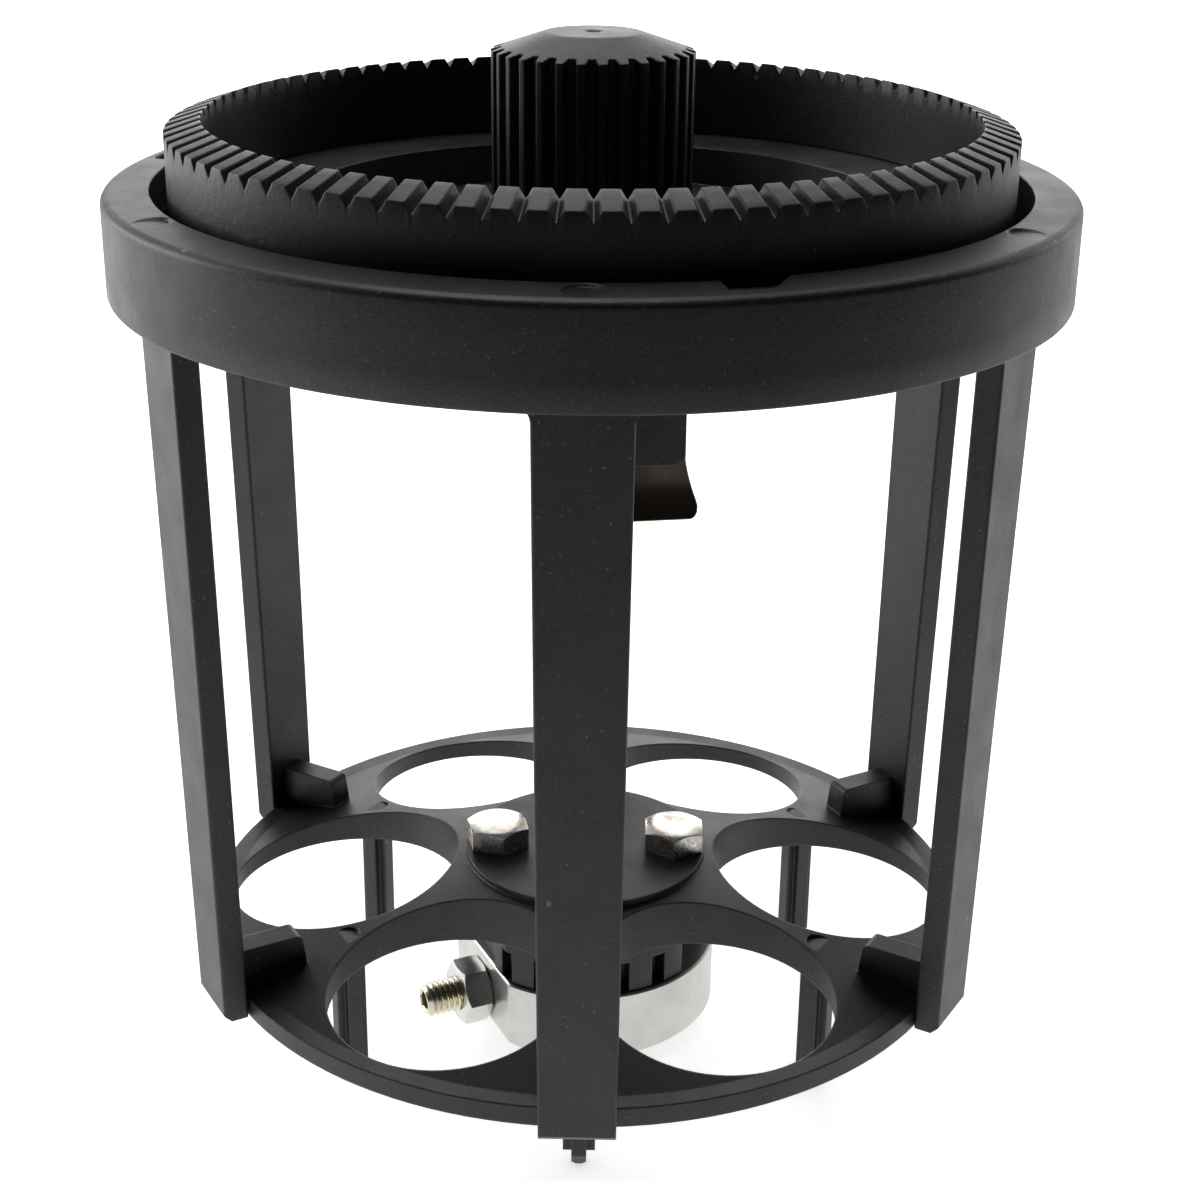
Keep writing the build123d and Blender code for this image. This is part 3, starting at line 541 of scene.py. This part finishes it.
class CARRIER_OT_crown_gear(bpy.types.Operator):
    """Drive ring with its radial teeth, lugs and snap ring groove"""
    bl_idname = "carrier.crown_gear"
    bl_label = "Drive ring"

    first_gap, first_lug, lug_half = 0.9, 74.6, 2.3  # degrees
    lug_reach = 6.4 * MM

    def execute(self, context):
        s = settings()
        columns, gap = self.columns(s)
        outer, inner = 65.1 * MM, 59.5 * MM
        collar_top = RING_HIGH[2] - 10.8 * MM
        edge = 0.16 * MM
        tip_in, tip_out = collar_top + 10.8 * MM, collar_top + 9.0 * MM
        recess, groove = 62.05 * MM, 63.2 * MM
        shoulder = collar_top - 2.58 * MM
        foot = RING_LOW[2]
        lug_top = foot + 3.4 * MM
        snap_top, snap_low = collar_top - 5.68 * MM, collar_top - 7.0 * MM
        # Each row is (radius, height, 1 where the height follows the teeth, 1 where lugs stand out).
        rows = np.array([
            (recess, foot, 0, 0), (outer - edge, foot, 0, 1), (outer, foot + edge, 0, 1),
            (outer, lug_top - edge, 0, 1), (outer, lug_top, 0, 1), (outer, lug_top + edge, 0, 0),
            (outer, collar_top + 1.0 * MM, 0, 0), (outer, collar_top + 5.5 * MM, 0, 0),
            (outer, -edge, 1, 0), (outer - 0.3 * edge, -0.3 * edge, 1, 0), (outer - edge, 0, 1, 0),
            (outer * 0.66 + inner * 0.34, 0, 1, 0), (outer * 0.33 + inner * 0.67, 0, 1, 0),
            (inner + edge, 0, 1, 0), (inner + 0.3 * edge, -0.3 * edge, 1, 0), (inner, -edge, 1, 0),
            (inner, collar_top + 7.6 * MM, 0, 0), (inner, collar_top + 2 * MM, 0, 0),
            (inner, shoulder + edge, 0, 0), (inner + edge, shoulder, 0, 0), (recess, shoulder, 0, 0),
            (recess, snap_top, 0, 0), (groove, snap_top, 0, 0), (groove, snap_low, 0, 0),
            (recess, snap_low, 0, 0),
        ])
        radius, height, toothed, lugged = (rows[:, [i]] for i in range(4))
        share = np.clip((radius - inner) / (outer - inner), 0, 1)
        tip = tip_in + (tip_out - tip_in) * share
        depth = s.tooth_depth_inner + (s.tooth_depth_outer - s.tooth_depth_inner) * share
        slope = math.tan(s.tooth_half_angle)
        offset = self.offsets(s, columns, depth * slope)
        azimuth = self.azimuths(s, columns, gap, offset, inner + (outer - inner) * share)
        rounded = 0.05 * MM
        cut = soft_floor(depth - np.sqrt(np.abs(offset)**2 + rounded**2) / slope, rounded)
        level = np.where(toothed > 0, tip - cut + height, height + 0 * cut)
        lug = np.zeros_like(azimuth)
        for turn in range(3):
            centre = math.radians(self.first_lug + 120 * turn)
            away = np.abs((azimuth - centre + math.pi) % (2 * math.pi) - math.pi)
            lug = np.maximum(lug, np.clip((math.radians(self.lug_half) - away) / math.radians(0.2), 0, 1))
        reach = radius + lugged * lug * self.lug_reach
        piece = skin("drive_ring", around(reach, azimuth, level), True)
        # Edge gain 0.9: a strong painted highlight, mixed with wear, along the teeth's edges.
        skin_nylon = nylon("ring_nylon", 0.11, 0.95, 0.5, edge_wear_and_highlight_gain=0.9)
        finish_piece(piece, "rotor", ["crown_gear"], skin_nylon)
        return {"FINISHED"}

    def columns(self, s):
        """Stops across half a tooth gap and half a land: (share of the gap's half width, extra length)."""
        half = np.array([(0, 0), (0.08, 0), (0.5, 0), (0.9, 0), (1, -0.04), (1, 0.04), (1, 0.14), (1, 0.5)])
        mirrored = half[1:][::-1] * -1
        return np.vstack([mirrored, half]), 2 * math.pi / s.ring_teeth

    def offsets(self, s, columns, half_width):
        """Distance of each column from its gap's centre, along the ring: share of the width plus an extra."""
        one = columns[:, 0] * half_width + columns[:, 1] * MM
        return np.tile(one, (1, s.ring_teeth))

    def azimuths(self, s, columns, gap, offset, radius):
        """Gap centres at multiples of the pitch past the first, plus each offset as an angle."""
        centres = math.radians(self.first_gap) + np.arange(s.ring_teeth) * gap
        return offset / radius + np.repeat(centres, len(columns))[None]


class CARRIER_OT_pinion(bpy.types.Operator):
    """Fluted pinion with its coned top and centre mark"""
    bl_idname = "carrier.pinion"
    bl_label = "Pinion"

    def execute(self, context):
        s = settings()
        tip = PINION_HIGH[0]
        root = tip - s.flute_depth
        low, high = PINION_LOW[2], PINION_HIGH[2]
        shoulder = high - 2.75 * MM
        flat = 7.4 * MM
        half = np.array([0, 0.16, 0.2, 0.24, 0.29, 0.32, 0.36])
        half_depth = np.array([1, 0.99, 0.86, 0.55, 0.22, 0.05, 0])
        per_flute = np.concatenate([[-0.5], -half[:0:-1], half])
        depth = np.concatenate([[0], half_depth[:0:-1], half_depth])
        pitch = 2 * math.pi / s.pinion_flutes
        azimuth = ((np.arange(s.pinion_flutes)[:, None] + per_flute[None]) * pitch).ravel()
        wall = tip - np.tile(depth, s.pinion_flutes) * s.flute_depth
        edge = 0.25 * MM
        outside = np.array([tip - 0.02 * MM, tip - edge, tip - 0.8 * MM, root, root - 0.4 * MM])
        middle = np.array([12, 10, 8, 5, 2.5, 1.3, 1.1, 0.6]) * MM
        radii = np.concatenate([outside, middle[:3], [flat + edge, flat, flat - edge], middle[3:]])
        heights = shoulder + (high - shoulder) * (tip - radii) / (tip - flat)
        heights[8:11] = [heights[8] - 0.01 * MM, high - 0.03 * MM, high]
        heights[11:] = [high, high, high, high - 0.12 * MM, high - 0.4 * MM]
        sides = np.array([(5.3 * MM, low), (9 * MM, low), (tip - edge, low), (tip, low + edge),
                          (tip, (low + high) / 2), (tip, shoulder - 1 * MM), (tip, shoulder - 0.1 * MM)])
        rows = np.vstack([sides, np.stack([radii, heights], -1)])
        radius = np.minimum(rows[:, [0]], wall[None])
        grid = around(radius, azimuth[None], rows[:, [1]])
        piece = skin("pinion", grid, False, ((0, 0, low), (0, 0, high - 0.5 * MM)))
        finish_piece(piece, "stirrer", ["sun_pinion"], nylon("pinion_nylon", 0.23, 1.1, 0.3))
        return {"FINISHED"}


class CARRIER_OT_clamp(bpy.types.Operator):
    """Turned clamp ring, its threaded side screw and the lock nut"""
    bl_idname = "carrier.clamp"
    bl_label = "Clamp"

    azimuth = math.radians(-64)
    level = 9.0 * MM

    def execute(self, context):
        self.ring()
        self.screw()
        self.nut()
        return {"FINISHED"}

    def to_side(self, points):
        """Turns points made about the Z axis so that the Z axis lies along the clamp screw."""
        out = np.array([math.sin(self.azimuth), -math.cos(self.azimuth), 0])
        along = np.array([math.cos(self.azimuth), math.sin(self.azimuth), 0])
        up = np.array([0, 0, 1])
        turned = points[..., [0]] * along + points[..., [1]] * up + points[..., [2]] * out
        return turned + np.array([0, 0, self.level])

    def ring(self):
        """Ring whose outside is the smaller of its radius and the flat's distance over the cosine."""
        outer, inner, flat, edge, foot = 23.0 * MM, 15.0 * MM, 19.8 * MM, 0.3 * MM, 1.4 * MM
        low, high = CLAMP_LOW[2], CLAMP_HIGH[2]
        azimuth = np.linspace(0, 2 * math.pi, 241)[:-1]
        away = np.cos(azimuth - self.azimuth)
        reach = np.minimum(outer, np.where(away > 0.5, flat / np.maximum(away, 0.5), outer))
        outside = np.array([low, low + foot, (low + high) / 2, high - edge, high])
        inside = np.array([high, high - edge, low + edge, low])
        level = np.concatenate([outside, inside])[:, None]
        bevel = np.array([foot, 0, 0, 0, edge, -edge, 0, 0, -edge])[:, None]
        radius = np.where(np.arange(len(level))[:, None] < len(outside), reach[None], inner) - bevel
        piece = skin("turned_clamp", around(radius, azimuth[None], level), True)
        steel = turned_steel("clamp_steel", lines=0.8, gain=0.86, roughness=0.36)
        finish_piece(piece, "cage", ["clamp_ring"], steel)

    def screw(self):
        """Thread: the radius falls from the crest by a wave of (length - turn x pitch), with tapered ends."""
        pitch = settings().thread_pitch
        crest, depth = 3.0 * MM, 0.5 * MM
        near, far = 15.0 * MM, 31.0 * MM
        turn = np.linspace(0, 2 * math.pi, 49)[:-1]
        middle = np.arange(near + 0.8 * MM, far - 0.7 * MM, pitch / 10)
        ends = [near, near + 0.4 * MM], [far - 0.5 * MM, far - 0.2 * MM, far]
        length = np.concatenate([ends[0], middle, ends[1]])[:, None]
        phase = ((length / pitch - turn[None] / (2 * math.pi)) % 1.0)
        groove = np.clip(1 - np.abs(phase - 0.5) * 2.6, 0, 1)
        tip = crest - 0.8 * MM
        taper = np.minimum(crest, np.minimum(tip + (far - length), tip + (length - near)))
        radius = np.minimum(crest - depth * groove, taper + 0 * turn[None])
        flats = 1.5 * MM / np.cos((turn + math.pi / 6) % (math.pi / 3) - math.pi / 6)
        mouth = np.stack([flats + 0.25 * MM, flats, flats, flats * 0.5])
        levels = np.array([far, far - 0.2 * MM, far - 3.2 * MM, far - 3.6 * MM])[:, None]
        grid = np.concatenate([around(radius, turn[None], length), around(mouth, turn[None], levels)])
        poles = self.to_side(np.array([(0, 0, near), (0, 0, far - 3.7 * MM)]))
        piece = skin("side_screw", self.to_side(grid), False, tuple(poles))
        finish_piece(piece, "cage", ["clamp_screw"], self.golden())

    def golden(self):
        """Zinc-plated thread with a yellow passivation film."""
        r = Recipe("thread_zinc")
        where = r.place()
        film = r.steps(r.noise(where, 240, 3), (0.35, 0.0), (0.7, 1.0))
        base = r.blend(film, (0.72, 0.64, 0.46, 1), (0.55, 0.54, 0.50, 1))
        rough = r.math("ADD", 0.2, r.math("MULTIPLY", film, 0.14))
        bump = r.add("Bump", strength=0.2, distance=0.00002, height=r.noise(where, 2600, 2)).outputs[0]
        return r.surface(base_color=base, metallic=1.0, roughness=rough, normal=bump)

    def nut(self):
        """Hexagon with both faces turned to a cone: outside radius is the flat's distance over the cosine."""
        low, high = 19.82 * MM, 24.82 * MM
        grid = hexagon_grid(10 * MM, low, high, 3.02 * MM, True)
        piece = skin("lock_nut", self.to_side(grid), True)
        steel = turned_steel("nut_steel", lines=0.3, gain=0.9, roughness=0.22)
        finish_piece(piece, "cage", ["clamp_nut"], steel)


def hexagon_grid(flats, low, high, bore, both_ends, turn=0.0):
    """Rows of a hexagon prism about the Z axis with its corners turned off by a 30 degree cone.

    Round the prism the outside lies at half the flats over the cosine of the angle from the nearest flat. A
    row near an end drops by the amount that the outside stands past the cone's small circle there."""
    azimuth = np.linspace(0, 2 * math.pi, 97)[:-1]
    from_flat = (azimuth + math.pi / 6) % (math.pi / 3) - math.pi / 6
    outside = flats / 2 / np.cos(from_flat)
    small = 0.475 * flats
    drop = np.maximum(outside - small, 0) * math.tan(math.radians(30))
    foot = drop if both_ends else np.full_like(drop, 0.05 * MM)
    circle = np.full_like(outside, small)
    inner = np.full_like(outside, bore)
    rows = [
        (inner, np.full_like(drop, low)),
        (circle if both_ends else outside - 0.05 * MM, np.full_like(drop, low)),
        (outside, low + foot), (outside, np.full_like(drop, (low + high) / 2)), (outside, high - drop),
        (circle, np.full_like(drop, high)),
        (inner, np.full_like(drop, high)),
    ]
    radius = np.stack([row[0] for row in rows])
    level = np.stack([row[1] for row in rows])
    return around(radius, azimuth[None] + turn, level)


class CARRIER_OT_hub_screws(bpy.types.Operator):
    """The four hexagon screws through the plate's boss"""
    bl_idname = "carrier.hub_screws"
    bl_label = "Hub screws"

    def execute(self, context):
        low, high = node_size("hub_screws")
        seat = high[2] - 4.0 * MM
        circle, head_turn = 15.5 * MM, 6.75
        head = hexagon_grid(10 * MM, seat, high[2], 3 * MM, False)
        turns = np.linspace(0, 2 * math.pi, head.shape[1] + 1)[None, :-1]
        shank = around(np.full((2, head.shape[1]), 3 * MM), turns, np.array([[low[2]], [seat]]))
        one = np.concatenate([shank, head[1:-1], head[-1:]])
        rows, columns = one.shape[:2]
        points, corners, sizes = [], [], []
        for number in range(4):
            azimuth = number * math.pi / 2
            centre = np.array([circle * math.sin(azimuth), -circle * math.cos(azimuth), 0])
            turn = math.radians((number - 1) * head_turn) + azimuth
            cosine, sine = math.cos(turn), math.sin(turn)
            spin = np.array([(cosine, sine, 0), (-sine, cosine, 0), (0, 0, 1)])
            start = number * (rows * columns + 2)
            index = np.arange(rows * columns).reshape(rows, columns) + start
            after = np.roll(index, -1, axis=1)
            quads = quads_between(index, after)
            tips = start + rows * columns
            under = np.stack([after[0], index[0], np.full(columns, tips)], -1)
            over = np.stack([index[-1], after[-1], np.full(columns, tips + 1)], -1)
            ends = np.array([(0, 0, low[2]), (0, 0, high[2])])
            points.append(np.concatenate([one.reshape(-1, 3), ends]) @ spin + centre)
            corners += [quads.ravel(), under.ravel(), over.ravel()]
            sizes += [np.full(len(quads), 4), np.full(2 * columns, 3)]
        piece = put("hexagon_screws", np.vstack(points), np.concatenate(corners), np.concatenate(sizes))
        finish_piece(piece, "cage", ["hub_screws"], pressed_steel("screw_steel"))
        return {"FINISHED"}


class CARRIER_OT_cage(bpy.types.Operator):
    """Finishes of the struts, plate, legs, hub and glide ring"""
    bl_idname = "carrier.cage"
    bl_label = "Cage finishes"

    def execute(self, context):
        dress([f"strut_{n}" for n in range(1, 7)], nylon("strut_nylon", 0.51, 1.15))
        dress(["carrier_plate"] + [f"leg_{n}" for n in range(1, 7)], nylon("plate_nylon", 0.72))
        dress(["hub"], nylon("hub_nylon", 0.88))
        dress(["glide_ring"], slippery_plastic("glide_plastic"))
        return {"FINISHED"}


class CARRIER_OT_rotor(bpy.types.Operator):
    """Finishes of the disc and what it carries"""
    bl_idname = "carrier.rotor"
    bl_label = "Rotor finishes"

    def execute(self, context):
        # Gain 6.0 paints the disc far lighter than the other nylon: painted light standing in for the
        # highlight on its ledge.
        dress(["drive_disc"], nylon("disc_nylon", 0.19, 6.0))
        dress(["disc_snap_ring", "spindle_clip"], spring_steel("blued_spring"))
        dress(["spindle_bush", "upper_thrust_washer", "lower_thrust_washer"],
              slippery_plastic("bush_plastic"))
        return {"FINISHED"}


class CARRIER_OT_stirrer(bpy.types.Operator):
    """Finishes of the spindle and the arm, and the bronze blade with its flared lip"""
    bl_idname = "carrier.stirrer"
    bl_label = "Stirrer"

    def execute(self, context):
        dress(["stirrer_arm", "blade_clamp"], nylon("arm_nylon", 0.64))
        dress(["spindle", "arm_pin", "blade_screws"], turned_steel("spindle_steel"))
        self.blade()
        return {"FINISHED"}

    def blade(self):
        """Sheet whose half width grows from 6.75 to 9.1 mm and whose face curves outwards towards the lip.

        The reach is 0.075 times the drop below the block, plus a square term below the bend. Both lower
        corners follow a quarter circle, and the rim is rounded by a half ellipse across its thickness."""
        low, high = node_size("stirrer_blade")
        foot = high[2] - 10.3 * MM
        near, thick, corner = 44.21 * MM, 0.79 * MM, 2.2 * MM
        bottom = low[2] + 0.02 * MM
        share = np.concatenate([np.linspace(0, 1, 24)[:-1], 1 - np.geomspace(0.04, 0.0012, 9)])
        share = np.unique(np.round(share, 5))
        level = (high[2] + (bottom - high[2]) * share)[:, None]
        drop = np.maximum(foot - level, 0)
        deepest = foot - bottom
        half = 6.75 * MM + 2.35 * MM * (drop / deepest) ** 1.4
        rest = np.clip(level - bottom, 0, corner)
        half = half - corner + np.sqrt(np.maximum(corner ** 2 - (corner - rest) ** 2, 0))
        reach = 0.075 * drop + 1.55 * MM * (np.maximum(drop - 3.4 * MM, 0) / (deepest - 3.4 * MM)) ** 1.7
        side = np.linspace(-1, 1, 25)
        turn = np.array([0.35, 0.0, -0.35])
        face = np.concatenate([side, 1 + 0.0 * turn, side[::-1], -1 + 0.0 * turn])
        lift = np.concatenate([side * 0 + 0.5, turn, side * 0 - 0.5, -turn])
        bulge = np.concatenate([side * 0, 0.5 - np.abs(turn), side * 0, np.abs(turn) - 0.5])[None] * 0.3 * MM
        across = face[None] * half + bulge
        out = near + thick / 2 + reach + lift[None] * thick
        azimuth = math.radians(9.6)
        ahead = np.array([math.sin(azimuth), -math.cos(azimuth), 0])
        along = np.array([math.cos(azimuth), math.sin(azimuth), 0])
        grid = across[..., None] * along + out[..., None] * ahead + level[..., None] * np.array([0, 0, 1])
        upper = ahead * (near + thick / 2) + np.array([0, 0, high[2]])
        lower = ahead * (near + thick / 2 + reach[-1, 0]) + np.array([0, 0, bottom])
        piece = skin("bronze_blade", grid[::-1], False, (lower, upper))
        finish_piece(piece, "stirrer", ["stirrer_blade"], sheet_bronze("blade_bronze"))


OPERATORS = (
    CARRIER_OT_stage, CARRIER_OT_collar, CARRIER_OT_crown_gear, CARRIER_OT_pinion, CARRIER_OT_clamp,
    CARRIER_OT_hub_screws, CARRIER_OT_cage, CARRIER_OT_rotor, CARRIER_OT_stirrer,
)


class CARRIER_PT_panel(bpy.types.Panel):
    """Lists the carrier's operators"""
    bl_idname = "CARRIER_PT_panel"
    bl_label = "Film tube carrier"
    bl_space_type = "VIEW_3D"
    bl_region_type = "UI"
    bl_category = "Carrier"

    def draw(self, context):
        for operator in OPERATORS:
            self.layout.operator(operator.bl_idname)


CLASSES = (CarrierSettings, *OPERATORS, CARRIER_PT_panel)


def register():
    for one in CLASSES:
        bpy.utils.register_class(one)
    bpy.types.Scene.carrier = PointerProperty(type=CarrierSettings)


def unregister():
    del bpy.types.Scene.carrier
    for one in reversed(CLASSES):
        bpy.utils.unregister_class(one)


def main():
    register()
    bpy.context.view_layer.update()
    bpy.ops.carrier.stage()
    bpy.ops.carrier.collar()
    bpy.ops.carrier.crown_gear()
    bpy.ops.carrier.pinion()
    bpy.ops.carrier.clamp()
    bpy.ops.carrier.hub_screws()
    bpy.ops.carrier.cage()
    bpy.ops.carrier.rotor()
    bpy.ops.carrier.stirrer()


if __name__ == "__main__":
    main()
